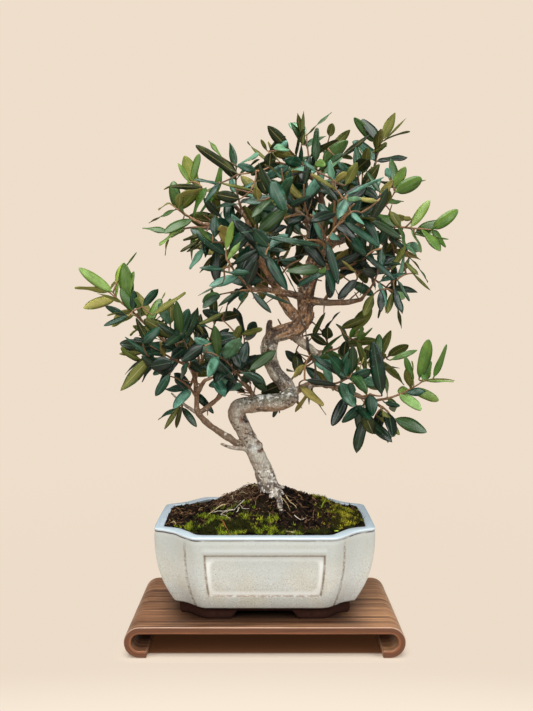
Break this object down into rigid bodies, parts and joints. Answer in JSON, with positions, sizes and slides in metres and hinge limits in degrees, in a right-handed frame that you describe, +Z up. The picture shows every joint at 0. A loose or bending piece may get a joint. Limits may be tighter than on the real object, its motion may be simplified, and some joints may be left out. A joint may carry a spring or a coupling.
{
  "type": "olive bonsai tree in a glazed pot",
  "caption": "Small olive bonsai with a twisting trunk and separate pads of narrow leaves, in a pale glazed rectangular pot with indented corners, on a low wooden stand with rolled ends.",
  "frame": {"origin": "centre of the overall footprint, on the surface that the stand stands on", "axes": "+Z up, +X to the right seen from the front, -Y to the front"},
  "size_m": [0.37, 0.1786, 0.5043],
  "materials": {
    "stand_wood": "satin varnish",
    "glaze": "glossy glaze",
    "soil": "rough crumbs",
    "moss": "soft tufts",
    "bark": "rough bark",
    "leaf": "waxy"
  },
  "bodies": {
    "root": {"stand": "stand_wood", "pot": "glaze", "soil": "soil", "moss_front_left": "moss", "moss_right": "moss", "moss_back_right": "moss", "tree": "bark", "spray_crown_01": "leaf", "spray_crown_02": "leaf", "spray_crown_03": "leaf", "spray_crown_04": "leaf", "spray_crown_05": "leaf", "spray_crown_06": "leaf", "spray_crown_07": "leaf", "spray_crown_08": "leaf", "spray_crown_09": "leaf", "spray_crown_10": "leaf", "spray_crown_11": "leaf", "spray_crown_12": "leaf", "spray_crown_13": "leaf", "spray_crown_14": "leaf", "spray_crown_15": "leaf", "spray_crown_16": "leaf", "spray_crown_17": "leaf", "spray_crown_18": "leaf", "spray_crown_19": "leaf", "spray_crown_20": "leaf", "spray_crown_21": "leaf", "spray_crown_22": "leaf", "spray_crown_23": "leaf", "spray_crown_24": "leaf", "spray_crown_25": "leaf", "spray_crown_26": "leaf", "spray_crown_27": "leaf", "spray_crown_28": "leaf", "spray_crown_29": "leaf", "spray_crown_30": "leaf", "spray_crown_31": "leaf", "spray_left_32": "leaf", "spray_left_33": "leaf", "spray_left_34": "leaf", "spray_left_35": "leaf", "spray_left_36": "leaf", "spray_left_37": "leaf", "spray_left_38": "leaf", "spray_left_39": "leaf", "spray_left_40": "leaf", "spray_left_41": "leaf", "spray_left_42": "leaf", "spray_left_43": "leaf", "spray_right_44": "leaf", "spray_right_45": "leaf", "spray_right_46": "leaf", "spray_right_47": "leaf", "spray_right_48": "leaf", "spray_right_49": "leaf", "spray_right_50": "leaf", "spray_right_51": "leaf", "spray_right_52": "leaf", "spray_right_53": "leaf"}
  },
  "joints": []
}
